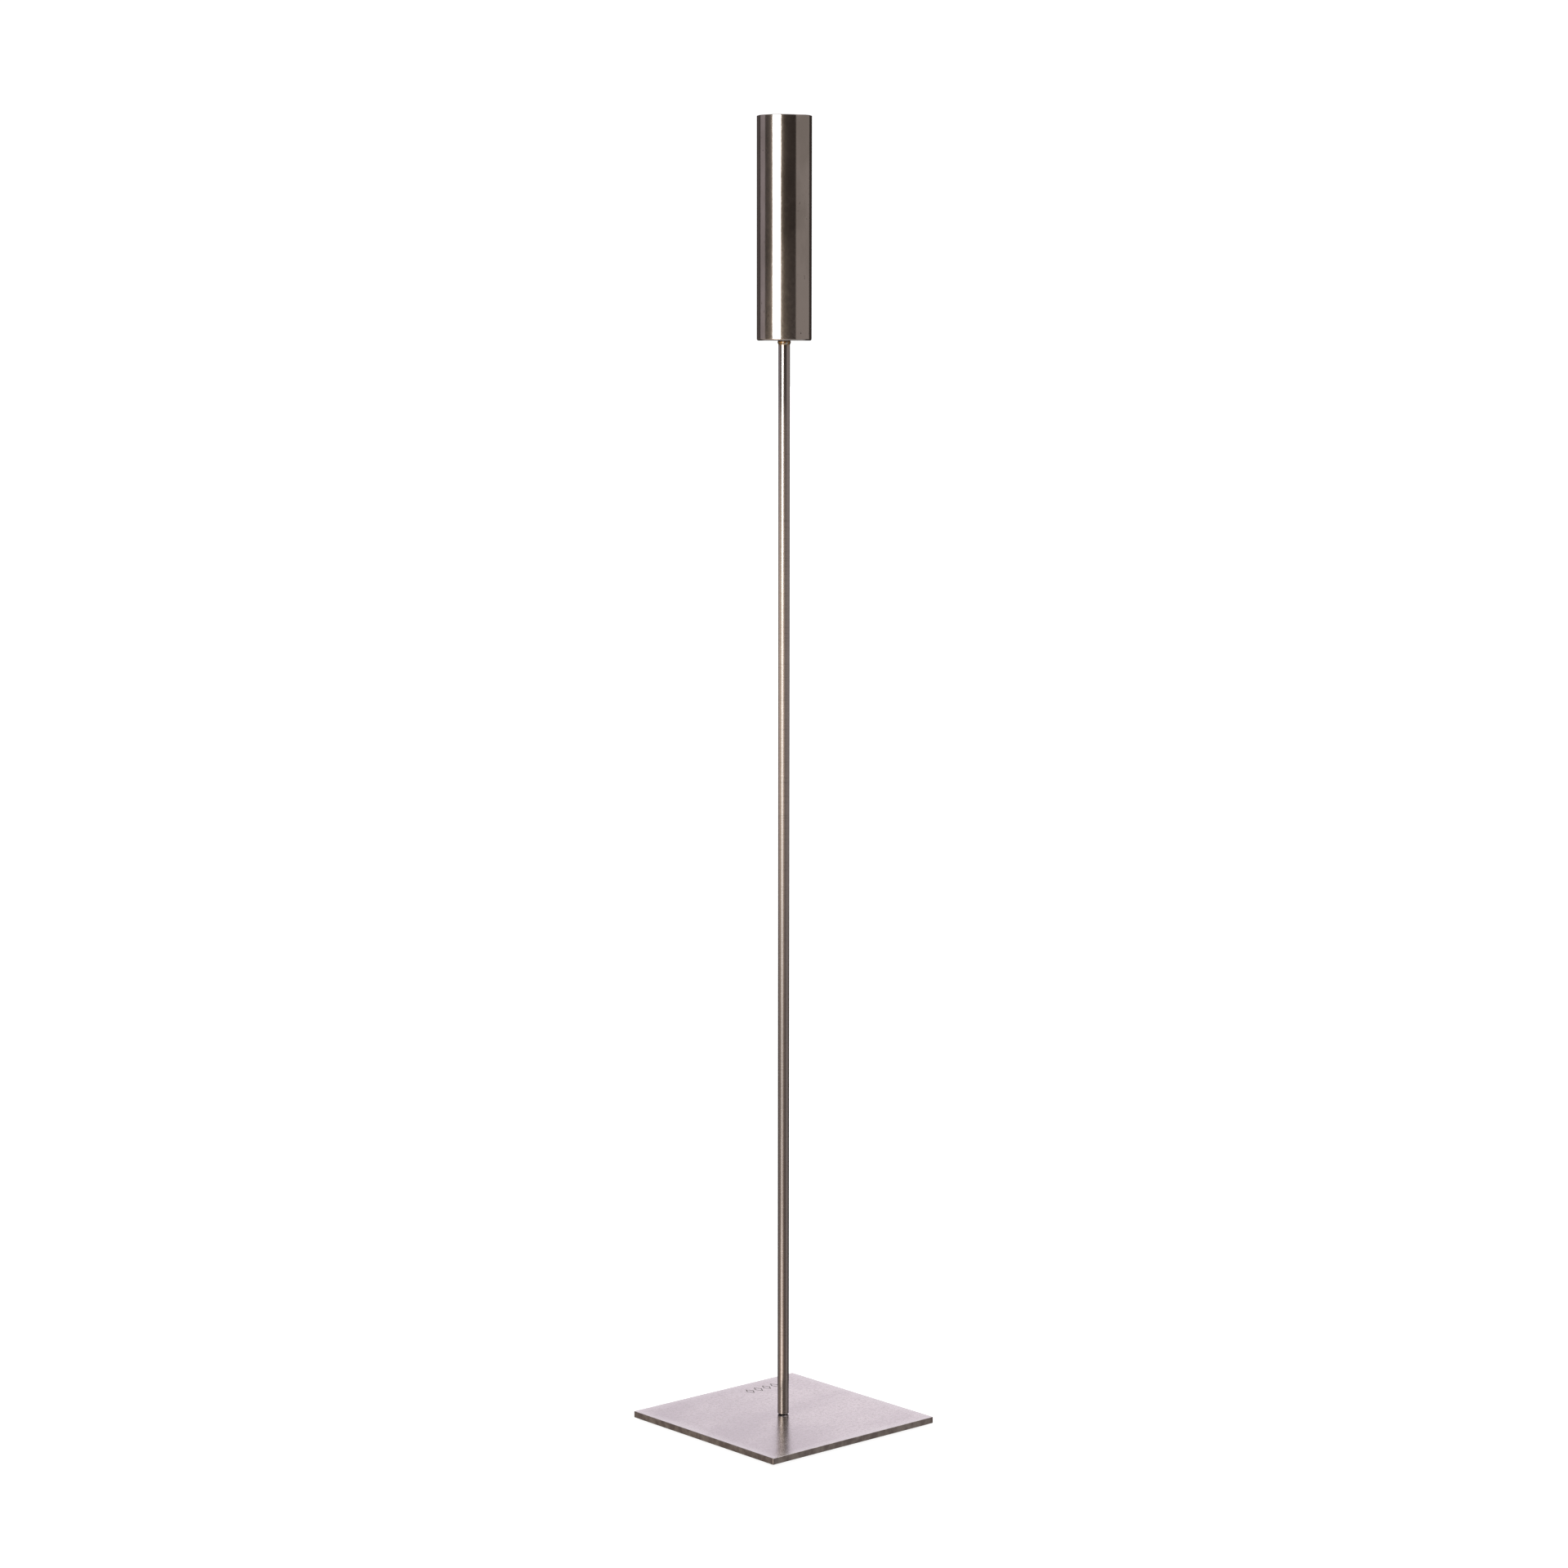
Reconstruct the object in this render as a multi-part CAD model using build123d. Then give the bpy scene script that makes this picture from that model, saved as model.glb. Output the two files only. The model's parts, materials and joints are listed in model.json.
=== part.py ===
"""Tall steel candlestick: a square base plate, a slender stem and a tube-shaped cup for one dinner candle.

Millimetres, +Z up. The origin is the centre of the plane that the rubber feet rest on. +Y points to the
edge of the base plate that the engraved mark is next to.
"""

from build123d import *

import math
import os

# Base plate, cut from steel sheet
BASE_SIDE = 100.0
BASE_THICKNESS = 3.0
BASE_CORNER_RADIUS = 0.5
BASE_EDGE_BREAK = 0.25

# Engraved mark on the plate's top: a row of lozenge outlines
MARK_COUNT = 5
MARK_PITCH = 5.2
MARK_WIDTH = 4.0
MARK_HEIGHT = 7.0
MARK_LINE = 0.55
MARK_DEPTH = 0.15
MARK_FROM_RIGHT_EDGE = 14.0
MARK_FROM_BACK_EDGE = 7.5

# Rubber feet, glued under the plate's corners
FOOT_DIAMETER = 9.0
FOOT_HEIGHT = 1.5
FOOT_ROUNDING = 0.5
FOOT_INSET = 11.0

# Stem, a solid round bar
STEM_DIAMETER = 5.3
STEM_LENGTH = 502.0
STEM_FOOT_LAND = 0.3
STEM_SHOULDER = 0.5

# Countersunk hex key screw that holds the stem down on the plate
SCREW_DIAMETER = 3.0
SCREW_LENGTH = 12.0
SCREW_HEAD_DIAMETER = 6.0
SCREW_HEAD_DEPTH = 0.2
SCREW_HOLE_CLEARANCE = 0.2
SCREW_TIP_CHAMFER = 0.35
SCREW_NECK_LENGTH = 1.0
HEX_ACROSS_FLATS = 2.0
HEX_DEPTH = 1.2
THREAD_PITCH = 0.5
THREAD_HEIGHT = 0.3
THREAD_CLEARANCE = 0.05
TAPPED_HOLE_SPARE = 2.0
DRILL_POINT_ANGLE = 118.0

# Cup: a sleeve of steel tube, its upper end bored out for the candle
CANDLE_DIAMETER = 22.0
CANDLE_CLEARANCE = 0.5
CANDLE_SOCKET_DEPTH = 30.0
CUP_RIM_WALL = 1.0
CUP_TUBE_WALL = 1.5
CUP_LENGTH = 101.0
CUP_LOWER_ROUNDING = 0.8
CUP_RIM_ROUNDING = 0.3

# Cup floor, a disc welded flush into the sleeve's lower end
FLOOR_THICKNESS = 2.0

# Candle seat, a flanged disc pressed into the sleeve, flush with the bottom of the candle socket
SEAT_THICKNESS = 1.0
SEAT_SKIRT = 8.0
SEAT_BEND_RADIUS = 1.5

# Weld bead round the stem, under the cup
BEAD_HEIGHT = 1.9
BEAD_BULGE = 0.4
BEAD_BULGE_BELOW_CUP = 0.75
BEAD_WIDTH_AT_CUP = 0.12

# Heights and diameters that follow from the sizes above
PLATE_BOTTOM = FOOT_HEIGHT
PLATE_TOP = PLATE_BOTTOM + BASE_THICKNESS
CUP_BOTTOM = PLATE_TOP + STEM_LENGTH
SOCKET_BOTTOM = CUP_BOTTOM + CUP_LENGTH - CANDLE_SOCKET_DEPTH
SOCKET_DIAMETER = CANDLE_DIAMETER + 2 * CANDLE_CLEARANCE
CUP_DIAMETER = SOCKET_DIAMETER + 2 * CUP_RIM_WALL
TUBE_BORE = CUP_DIAMETER - 2 * CUP_TUBE_WALL
SPIGOT_DIAMETER = STEM_DIAMETER - 2 * STEM_SHOULDER
SCREW_HOLE_DIAMETER = SCREW_DIAMETER + 2 * SCREW_HOLE_CLEARANCE
STEM_FOOT_DIAMETER = SCREW_HOLE_DIAMETER + 2 * STEM_FOOT_LAND
SCREW_HEAD_FACE = PLATE_BOTTOM + SCREW_HEAD_DEPTH
SCREW_TIP = SCREW_HEAD_FACE + SCREW_LENGTH
HEAD_CONE_HEIGHT = (SCREW_HEAD_DIAMETER - SCREW_DIAMETER) / 2
THREAD_BOTTOM = SCREW_HEAD_FACE + HEAD_CONE_HEIGHT + SCREW_NECK_LENGTH

UPWARDS = (Align.CENTER, Align.CENTER, Align.MIN)
DOWNWARDS = (Align.CENTER, Align.CENTER, Align.MAX)


def turned(points):
    """The solid that a closed outline of (radius, height) points makes, turned about the Z axis."""
    outline = Polyline(*points, close=True)
    return revolve(Plane.XZ * make_face(outline), Axis.Z)


def thread_flanks(bottom, top, clearance):
    """Points up the flanks of the thread, drawn as rings, between two heights.

    The rings stand at whole pitches above THREAD_BOTTOM, so a screw and its tapped hole are in mesh.
    """
    crest = SCREW_DIAMETER / 2 + clearance
    root = crest - THREAD_HEIGHT
    first = math.ceil((bottom - THREAD_BOTTOM) / THREAD_PITCH)
    last = math.floor((top - THREAD_BOTTOM) / THREAD_PITCH)
    points = []
    for turn in range(first, last):
        height = THREAD_BOTTOM + turn * THREAD_PITCH
        points += [(root, height), (crest, height + THREAD_PITCH / 2)]
    return points + [(root, THREAD_BOTTOM + last * THREAD_PITCH)]


def lozenge(width, height):
    corners = [(width / 2, 0), (0, height / 2), (-width / 2, 0), (0, -height / 2)]
    return make_face(Polyline(*corners, close=True))


def mark_cutter():
    """The row of lozenge outlines, from MARK_DEPTH below the plate's top to as much above it."""
    inner = 1 - 2 * MARK_LINE / MARK_WIDTH
    outline = lozenge(MARK_WIDTH, MARK_HEIGHT) - lozenge(MARK_WIDTH * inner, MARK_HEIGHT * inner)
    right = (BASE_SIDE - MARK_WIDTH) / 2 - MARK_FROM_RIGHT_EDGE
    back = (BASE_SIDE - MARK_HEIGHT) / 2 - MARK_FROM_BACK_EDGE
    row = [Pos(right - i * MARK_PITCH, back, PLATE_TOP) * outline for i in range(MARK_COUNT)]
    return extrude(Sketch() + row, MARK_DEPTH, both=True)


def base_plate():
    """The square plate, with a countersunk hole up its middle for the screw."""
    sheet = RectangleRounded(BASE_SIDE, BASE_SIDE, BASE_CORNER_RADIUS)
    plate = extrude(Pos(0, 0, PLATE_BOTTOM) * sheet, BASE_THICKNESS)
    faces = plate.faces().sort_by(Axis.Z)
    plate = chamfer(faces[0].edges() + faces[-1].edges(), BASE_EDGE_BREAK)
    hole = SCREW_HOLE_DIAMETER / 2
    mouth = SCREW_HEAD_DIAMETER / 2 + SCREW_HEAD_DEPTH
    plate -= turned([
        (0, PLATE_BOTTOM),
        (mouth, PLATE_BOTTOM),
        (hole, PLATE_BOTTOM + mouth - hole),
        (hole, PLATE_TOP),
        (0, PLATE_TOP),
    ])
    return plate - mark_cutter()


def rubber_feet():
    foot = Cylinder(FOOT_DIAMETER / 2, FOOT_HEIGHT, align=UPWARDS)
    foot = fillet(foot.edges().sort_by(Axis.Z)[0], FOOT_ROUNDING)
    reach = BASE_SIDE / 2 - FOOT_INSET
    return Compound([Pos(x, y, 0) * foot for x in (-reach, reach) for y in (-reach, reach)])


def base_screw():
    """The screw from below: countersunk head, neck and thread, with a hexagonal hole for its key."""
    radius = SCREW_DIAMETER / 2
    threads = thread_flanks(THREAD_BOTTOM, SCREW_TIP - SCREW_TIP_CHAMFER, 0)
    root = threads[-1][0]
    screw = turned([
        (0, SCREW_HEAD_FACE),
        (SCREW_HEAD_DIAMETER / 2, SCREW_HEAD_FACE),
        (radius, SCREW_HEAD_FACE + HEAD_CONE_HEIGHT),
        (radius, THREAD_BOTTOM - THREAD_PITCH / 2),
        *threads,
        (root, SCREW_TIP - SCREW_TIP_CHAMFER),
        (root - SCREW_TIP_CHAMFER, SCREW_TIP),
        (0, SCREW_TIP),
    ])
    hexagon = RegularPolygon(HEX_ACROSS_FLATS / 2, 6, major_radius=False)
    return screw - extrude(Pos(0, 0, SCREW_HEAD_FACE) * hexagon, HEX_DEPTH)


def stem():
    """The bar: its foot is chamfered and tapped for the screw, and its spigot goes through the cup floor."""
    radius = STEM_DIAMETER / 2
    foot = STEM_FOOT_DIAMETER / 2
    spigot = SPIGOT_DIAMETER / 2
    bar = turned([
        (0, PLATE_TOP),
        (foot, PLATE_TOP),
        (radius, PLATE_TOP + radius - foot),
        (radius, CUP_BOTTOM),
        (spigot, CUP_BOTTOM),
        (spigot, CUP_BOTTOM + FLOOR_THICKNESS),
        (0, CUP_BOTTOM + FLOOR_THICKNESS),
    ])
    threads = thread_flanks(PLATE_TOP, SCREW_TIP + TAPPED_HOLE_SPARE, THREAD_CLEARANCE)
    root, depth = threads[-1]
    drill_point = root / math.tan(math.radians(DRILL_POINT_ANGLE / 2))
    mouth = SCREW_DIAMETER / 2 + THREAD_CLEARANCE
    return bar - turned([(0, PLATE_TOP), (mouth, PLATE_TOP), *threads, (0, depth + drill_point)])


def weld_bead():
    """The ring of weld metal that joins the stem to the cup floor."""
    radius = STEM_DIAMETER / 2
    foot = (radius, CUP_BOTTOM - BEAD_HEIGHT)
    bulge = (radius + BEAD_BULGE, CUP_BOTTOM - BEAD_BULGE_BELOW_CUP)
    top = (radius + BEAD_WIDTH_AT_CUP, CUP_BOTTOM)
    outline = ThreePointArc(foot, bulge, top) + Polyline(top, (radius, CUP_BOTTOM), foot)
    return revolve(Plane.XZ * make_face(outline), Axis.Z)


def cup_sleeve():
    tube = Cylinder(CUP_DIAMETER / 2, CUP_LENGTH, align=UPWARDS)
    tube = fillet(tube.edges().filter_by(GeomType.CIRCLE).sort_by(Axis.Z)[0], CUP_LOWER_ROUNDING)
    tube -= Cylinder(TUBE_BORE / 2, CUP_LENGTH, align=UPWARDS)
    tube -= Pos(0, 0, CUP_LENGTH) * Cylinder(SOCKET_DIAMETER / 2, CANDLE_SOCKET_DEPTH, align=DOWNWARDS)
    rims = tube.edges().filter_by(GeomType.CIRCLE).group_by(Axis.Z)[-1]
    return Pos(0, 0, CUP_BOTTOM) * fillet(rims, CUP_RIM_ROUNDING)


def cup_floor():
    ring = Circle(TUBE_BORE / 2) - Circle(SPIGOT_DIAMETER / 2)
    return extrude(Pos(0, 0, CUP_BOTTOM) * ring, FLOOR_THICKNESS)


def candle_seat():
    """The flanged disc that the candle stands on, its skirt pointing down."""
    radius = TUBE_BORE / 2
    outside = Cylinder(radius, SEAT_SKIRT, align=DOWNWARDS)
    outside = fillet(outside.edges().sort_by(Axis.Z)[-1], SEAT_BEND_RADIUS)
    inside = Cylinder(radius - SEAT_THICKNESS, SEAT_SKIRT - SEAT_THICKNESS, align=DOWNWARDS)
    inside = fillet(inside.edges().sort_by(Axis.Z)[-1], SEAT_BEND_RADIUS - SEAT_THICKNESS)
    return Pos(0, 0, SOCKET_BOTTOM) * (outside - Pos(0, 0, -SEAT_THICKNESS) * inside)


SUBPARTS = [base_plate, rubber_feet, base_screw, stem, weld_bead, cup_sleeve, cup_floor, candle_seat]

os.makedirs("parts", exist_ok=True)
for subpart in SUBPARTS:
    export_step(subpart(), f"parts/{subpart.__name__}.step")
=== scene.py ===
"""The looks of a tall steel candlestick: satin plate, polished stem and cup, and the fastenings under it.

Metres, in the frame's axes: +Z runs up the stem, and the engraved row is near the plate's +Y edge.
Heights, lengths and diameters are read off the frame's own boxes wherever it has them.
"""

import json
import math

import bmesh
import bpy
from mathutils import Euler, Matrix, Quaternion, Vector


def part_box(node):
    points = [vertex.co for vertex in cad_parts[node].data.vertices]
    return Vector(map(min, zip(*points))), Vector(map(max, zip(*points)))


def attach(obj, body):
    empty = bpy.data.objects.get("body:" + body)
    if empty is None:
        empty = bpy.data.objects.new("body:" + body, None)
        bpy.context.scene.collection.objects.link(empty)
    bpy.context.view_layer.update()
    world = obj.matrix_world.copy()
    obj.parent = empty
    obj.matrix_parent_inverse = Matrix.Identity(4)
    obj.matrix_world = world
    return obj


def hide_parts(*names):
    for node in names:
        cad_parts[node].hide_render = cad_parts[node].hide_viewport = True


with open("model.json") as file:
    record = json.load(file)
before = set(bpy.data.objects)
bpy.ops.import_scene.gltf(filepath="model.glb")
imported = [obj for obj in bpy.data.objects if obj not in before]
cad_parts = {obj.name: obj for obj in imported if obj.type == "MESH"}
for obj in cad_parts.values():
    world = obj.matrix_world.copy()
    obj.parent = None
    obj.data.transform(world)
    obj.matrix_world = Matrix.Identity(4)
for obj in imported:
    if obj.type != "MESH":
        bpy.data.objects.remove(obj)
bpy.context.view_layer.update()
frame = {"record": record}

MM = 0.001
FULL_TURN = 2 * math.pi
BODY = "root"

# How finely round things are made
FACETS = 192
STEM_FACETS = 128
WELD_FACETS = 256
SCREW_FACETS = 72
FOOT_FACETS = 64
DRILL_FACETS = 96
ARC_STEPS = 6
HOLD = 0.02 * MM

# Points nearer the Z axis than this are on it, edges that turn by more than this are crisp, and a face is
# square to an axis when its normal has more than this along it
ON_AXIS = 1e-4 * MM
CRISP_OVER = math.radians(35)
SQUARE_ON = 0.99999

# Sizes read off the frame
PLATE_LOW, PLATE_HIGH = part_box("base_plate")
FEET_LOW, FEET_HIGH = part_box("rubber_feet")
SCREW_LOW, SCREW_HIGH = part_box("base_screw")
STEM_LOW, STEM_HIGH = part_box("stem")
BEAD_LOW, BEAD_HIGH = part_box("weld_bead")
CUP_LOW, CUP_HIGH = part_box("cup_sleeve")
FLOOR_LOW, FLOOR_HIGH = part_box("cup_floor")
SEAT_LOW, SEAT_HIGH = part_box("candle_seat")
PLATE_HALF = PLATE_HIGH.x
STEM_RADIUS = STEM_HIGH.x
BEAD_RADIUS = BEAD_HIGH.x
CUP_RADIUS = CUP_HIGH.x
TUBE_BORE_RADIUS = FLOOR_HIGH.x
SCREW_HEAD_RADIUS = SCREW_HIGH.x
SOCKET = next(m for m in frame["record"]["mounts"] if m["name"] == "candle_socket")
SOCKET_RADIUS = SOCKET["dims"]["r_mm"] * MM

# Plate. The rim is the paler band that wear leaves along its edges.
PLATE_CORNER = 0.5 * MM
PLATE_EDGE_ROUNDING = 0.22 * MM
SCREW_HOLE_RADIUS = 1.7 * MM
SCREW_HEAD_DEPTH = SCREW_LOW.z - PLATE_LOW.z
RIM_WIDTH = 7.0 * MM

# Engraved row of lozenge outlines
MARK_COUNT = 5
MARK_PITCH = 5.2 * MM
MARK_WIDTH = 4.0 * MM
MARK_HEIGHT = 7.0 * MM
MARK_LINE = 0.55 * MM
MARK_DEPTH = 0.15 * MM
MARK_FROM_RIGHT_EDGE = 14.0 * MM
MARK_FROM_BACK_EDGE = 7.5 * MM

# Rubber feet
FOOT_RADIUS = 4.5 * MM
FOOT_ROUNDING = 0.5 * MM

# Stem. Painted shade darkens the lowest part of its foot and the seam on the plate beside it, where the two
# meet. Its upper end is buffed, and it is tinted next to the weld.
STEM_FOOT_RADIUS = 2.0 * MM
STEM_FOOT_EASE = 0.15 * MM
STEM_SHOULDER = 0.5 * MM
SPIGOT_RADIUS = STEM_RADIUS - STEM_SHOULDER
TAPPED_HOLE_SPARE = 2.0 * MM
TAPPED_HOLE_CLEARANCE = 0.05 * MM
# How high the painted shade at the stem's foot reaches
FOOT_PAINTED_SHADE = 0.2 * MM
SEAM_SHADE_STARTS_TO_FADE = 0.05 * MM
SEAM_SHADE_FADED = 0.3 * MM
BUFFED_LENGTH = 45.0 * MM
TINTED_LENGTH = 2.0 * MM

# Screw
SCREW_RADIUS = 1.5 * MM
SCREW_HEAD_EDGE = 0.12 * MM
SCREW_NECK = 1.0 * MM
SCREW_TIP_CHAMFER = 0.35 * MM
THREAD_PITCH = 0.5 * MM
THREAD_DEPTH = 0.3 * MM
THREAD_STEPS = 10
HEX_RADIUS = 2.0 * MM / math.sqrt(3)
HEX_DEPTH = 1.2 * MM

# Cup
CUP_LOWER_ROUNDING = 0.8 * MM
CUP_RIM_ROUNDING = 0.3 * MM
SOCKET_STEP_EASE = 0.1 * MM
FLOOR_EDGE_EASE = 0.12 * MM
SEAT_THICKNESS = 1.0 * MM
SEAT_BEND = 1.5 * MM
SEAT_EDGE_EASE = 0.1 * MM

# How far the cup's crossing scratches turn for each metre of height, and the pitches of the lathe's grooves
HATCH_TWIST = 0.9 / CUP_RADIUS
FLOOR_TOOL_PITCH = 0.28 * MM
SCREW_TOOL_PITCH = 0.16 * MM

# Weld. Its side swells and falls as a sine, which the power lifts towards the cup, and of which only this
# share is used, so that its top stands proud of the stem.
WELD_STEPS = 18
WELD_BULGE_POWER = 1.35
WELD_BULGE_SHARE = 0.86
RIPPLE_COUNT = 26
RIPPLE_HEIGHT = 0.05 * MM
RIPPLE_SLANT = 0.5 / MM
HEAT_RAGGEDNESS = 1.2 * MM


# ---------------------------------------------------------------- node trees

class Wire:
    """One output of a node, with the arithmetic of its numbers written as expressions."""

    def __init__(self, nodes, socket):
        self.nodes = nodes
        self.socket = socket

    def maths(self, operation, *others):
        """A Math node with this as its first value."""
        return self.nodes.maths(operation, self, *others)

    def __add__(self, other):
        return self.maths("ADD", other)

    def __sub__(self, other):
        return self.maths("SUBTRACT", other)

    def __rsub__(self, other):
        return self.nodes.maths("SUBTRACT", other, self)

    def __mul__(self, other):
        return self.maths("MULTIPLY", other)

    def __truediv__(self, other):
        return self.maths("DIVIDE", other)

    def __rtruediv__(self, other):
        return self.nodes.maths("DIVIDE", other, self)

    def __pow__(self, other):
        return self.maths("POWER", other)

    def __rpow__(self, other):
        return self.nodes.maths("POWER", other, self)

    __radd__ = __add__
    __rmul__ = __mul__


class Nodes:
    """A shader or geometry tree that nodes are added to."""

    def __init__(self, tree):
        self.tree = tree

    def node(self, kind, inputs=(), output=0, stops=None, **settings):
        """Adds a node, makes its settings, then its inputs, and gives back one output.

        Inputs are values or Wires, in the node's order or by the names of its sockets.
        """
        made = self.tree.nodes.new(kind)
        for name, value in settings.items():
            setattr(made, name, value)
        if stops:
            self.set_stops(made.color_ramp, stops)
        named = inputs if isinstance(inputs, dict) else dict(enumerate(inputs))
        for key, value in named.items():
            socket = self.find(made.inputs, key)
            if isinstance(value, Wire):
                self.tree.links.new(value.socket, socket)
            else:
                socket.default_value = value
        return Wire(self, self.find(made.outputs, output)) if made.outputs else None

    @staticmethod
    def set_stops(ramp, stops):
        """Gives a ramp its stops, as (place, colour) pairs."""
        while len(ramp.elements) < len(stops):
            ramp.elements.new(1.0)
        for element, (place, colour) in zip(ramp.elements, stops):
            element.position = place
            element.color = (*colour, 1.0)

    @staticmethod
    def find(sockets, key):
        """A socket by its place in the order or by its name."""
        if isinstance(key, int):
            return sockets[key]
        return next(s for s in sockets if s.enabled and key in (s.name, s.identifier))

    def maths(self, operation, *values):
        """A Math node on these values."""
        return self.node("ShaderNodeMath", values, operation=operation)

    def blend(self, factor, low, high):
        """A colour between two others."""
        colours = {"Factor": factor, "A": rgba(low), "B": rgba(high)}
        return self.node("ShaderNodeMix", colours, "Result", data_type="RGBA")

    def ease(self, value, low, high):
        """0 below low, 1 above high and a smooth step between them."""
        return self.node(
            "ShaderNodeMapRange",
            {"Value": value, "From Min": low, "From Max": high},
            interpolation_type="SMOOTHSTEP",
        )

    def split(self, vector):
        """The X, Y and Z of a vector."""
        parts = self.node("ShaderNodeSeparateXYZ", [vector]).socket.node
        return [Wire(self, part) for part in parts.outputs]


def rgba(colour):
    """A colour with its alpha. A Wire stays as it is."""
    return colour if isinstance(colour, Wire) else (*colour, 1.0)


# ---------------------------------------------------------------- mesh making

def eased_outline(corners):
    """(radius, height) points through corners given as (radius, height, rounding).

    Each rounding is an arc. A hold point beside each of its ends keeps the shading of the flats true.
    """
    points = []
    for i, (radius, height, rounding) in enumerate(corners):
        here = Vector((radius, height))
        if not rounding:
            points.append(here)
            continue
        before = (Vector(corners[i - 1][:2]) - here).normalized()
        after = (Vector(corners[(i + 1) % len(corners)][:2]) - here).normalized()
        half = before.angle(after) / 2
        reach = rounding / math.tan(half)
        middle = here + (before + after).normalized() * rounding / math.sin(half)
        start = here + before * reach - middle
        end = here + after * reach - middle
        points.append(here + before * (reach + HOLD))
        for step in range(ARC_STEPS + 1):
            points.append(middle + start.slerp(end, step / ARC_STEPS).normalized() * rounding)
        points.append(here + after * (reach + HOLD))
    return [(p.x, p.y) for p in points]


def turned_shape(outline, facets=FACETS, ring=False):
    """A bmesh turned about Z from an outline that has the solid on its left as it is followed."""
    shape = bmesh.new()
    circles = []
    for radius, height in outline:
        if radius < ON_AXIS:
            circles.append([shape.verts.new((0, 0, height))])
            continue
        angles = [FULL_TURN * k / facets for k in range(facets)]
        circles.append([
            shape.verts.new((radius * math.cos(a), radius * math.sin(a), height)) for a in angles
        ])
    following = circles[1:] + (circles[:1] if ring else [])
    for lower, upper in zip(circles, following):
        for k in range(facets):
            corners = [lower[k % len(lower)], lower[(k + 1) % facets % len(lower)]]
            corners += [upper[(k + 1) % facets % len(upper)], upper[k % len(upper)]]
            distinct = list(dict.fromkeys(corners))
            if len(distinct) > 2:
                shape.faces.new(distinct)
    return shape


def piece_of(name, shape, *finishes):
    """An object with the shape's mesh, shaded smooth between its crisp edges."""
    mesh = bpy.data.meshes.new(name)
    shape.to_mesh(mesh)
    shape.free()
    for finish in finishes:
        mesh.materials.append(finish)
    mesh.shade_smooth()
    mesh.set_sharp_from_angle(angle=CRISP_OVER)
    piece = bpy.data.objects.new(name, mesh)
    bpy.context.scene.collection.objects.link(piece)
    return piece


def settle(piece):
    """Makes what the piece's modifiers do its own plain mesh."""
    ready = piece.evaluated_get(bpy.context.evaluated_depsgraph_get())
    mesh = bpy.data.meshes.new_from_object(ready)
    piece.modifiers.clear()
    piece.data = mesh
    return piece


def cut_with(piece, tool):
    """Cuts the tool's shape out of the piece. The cut faces keep the tool's finish."""
    cut = piece.modifiers.new("cut", "BOOLEAN")
    cut.object = tool
    cut.solver = "EXACT"
    cut.material_mode = "TRANSFER"
    settle(piece)
    bpy.data.objects.remove(tool)


def prism(sides, low, high):
    """A bmesh of a closed prism over a list of (x, y) corners, counted anticlockwise."""
    shape = bmesh.new()
    bottom = [shape.verts.new((x, y, low)) for x, y in sides]
    top = [shape.verts.new((x, y, high)) for x, y in sides]
    shape.faces.new(bottom[::-1])
    shape.faces.new(top)
    for i in range(len(sides)):
        j = (i + 1) % len(sides)
        shape.faces.new((bottom[i], bottom[j], top[j], top[i]))
    return shape


# ---------------------------------------------------------------- geometry recipes

def recipe(name, sizes):
    """A geometry tree with a named input for each size. Gives its Nodes, and its inputs as Wires by name."""
    tree = bpy.data.node_groups.new(name, "GeometryNodeTree")
    tree.interface.new_socket("Geometry", in_out="OUTPUT", socket_type="NodeSocketGeometry")
    for title, kind in {"Geometry": "Geometry", **sizes, "Finish": "Material"}.items():
        tree.interface.new_socket(title, in_out="INPUT", socket_type="NodeSocket" + kind)
    nodes = Nodes(tree)
    entry = tree.nodes.new("NodeGroupInput")
    return nodes, {s.name: Wire(nodes, s) for s in entry.outputs if s.name}


def serve(nodes, geometry, given):
    """Ends a recipe: real geometry, in its finish."""
    real = nodes.node("GeometryNodeRealizeInstances", [geometry])
    done = nodes.node("GeometryNodeSetMaterial", {"Geometry": real, "Material": given["Finish"]})
    nodes.node("NodeGroupOutput", [done])
    return nodes.tree


def make_by(piece, tree, **values):
    """Runs a recipe on a piece with its inputs set, and keeps what comes out as a plain mesh."""
    modifier = piece.modifiers.new(tree.name, "NODES")
    modifier.node_group = tree
    for socket in tree.interface.items_tree:
        key = socket.name.replace(" ", "_").lower()
        if socket.in_out == "INPUT" and key in values:
            modifier[socket.identifier] = values[key]
    return settle(piece)


def copies_on_points(name, sizes, layout):
    """A recipe that puts a copy of the piece on each point that layout makes from the inputs."""
    nodes, given = recipe(name, sizes)
    inputs = {"Points": layout(nodes, given), "Instance": given["Geometry"]}
    return serve(nodes, nodes.node("GeometryNodeInstanceOnPoints", inputs), given)


def row_recipe():
    """Copies in a row along X, a pitch apart."""
    def layout(nodes, given):
        step = nodes.node("ShaderNodeCombineXYZ", {"X": given["Pitch"]})
        return nodes.node("GeometryNodeMeshLine", {"Count": given["Count"], "Offset": step})

    return copies_on_points("row_along_x", {"Count": "Int", "Pitch": "Float"}, layout)


def corners_recipe():
    """Copies on the corners of a square."""
    def layout(nodes, given):
        side = given["Spacing"]
        square = {"Size X": side, "Size Y": side, "Vertices X": 2, "Vertices Y": 2}
        return nodes.node("GeometryNodeMeshGrid", square)

    return copies_on_points("four_corners", {"Spacing": "Float"}, layout)


def moved_outwards(nodes, given, distance):
    """The piece with its points moved away from the Z axis, each by what distance gives for it."""
    place = nodes.node("GeometryNodeInputPosition")
    x, y, z = nodes.split(place)
    radius = (x * x + y * y).maths("SQRT")
    share = distance(x, y, z, radius) / radius
    move = nodes.node("ShaderNodeCombineXYZ", {"X": x * share, "Y": y * share})
    return nodes.node("GeometryNodeSetPosition", {"Geometry": given["Geometry"], "Offset": move})


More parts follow.
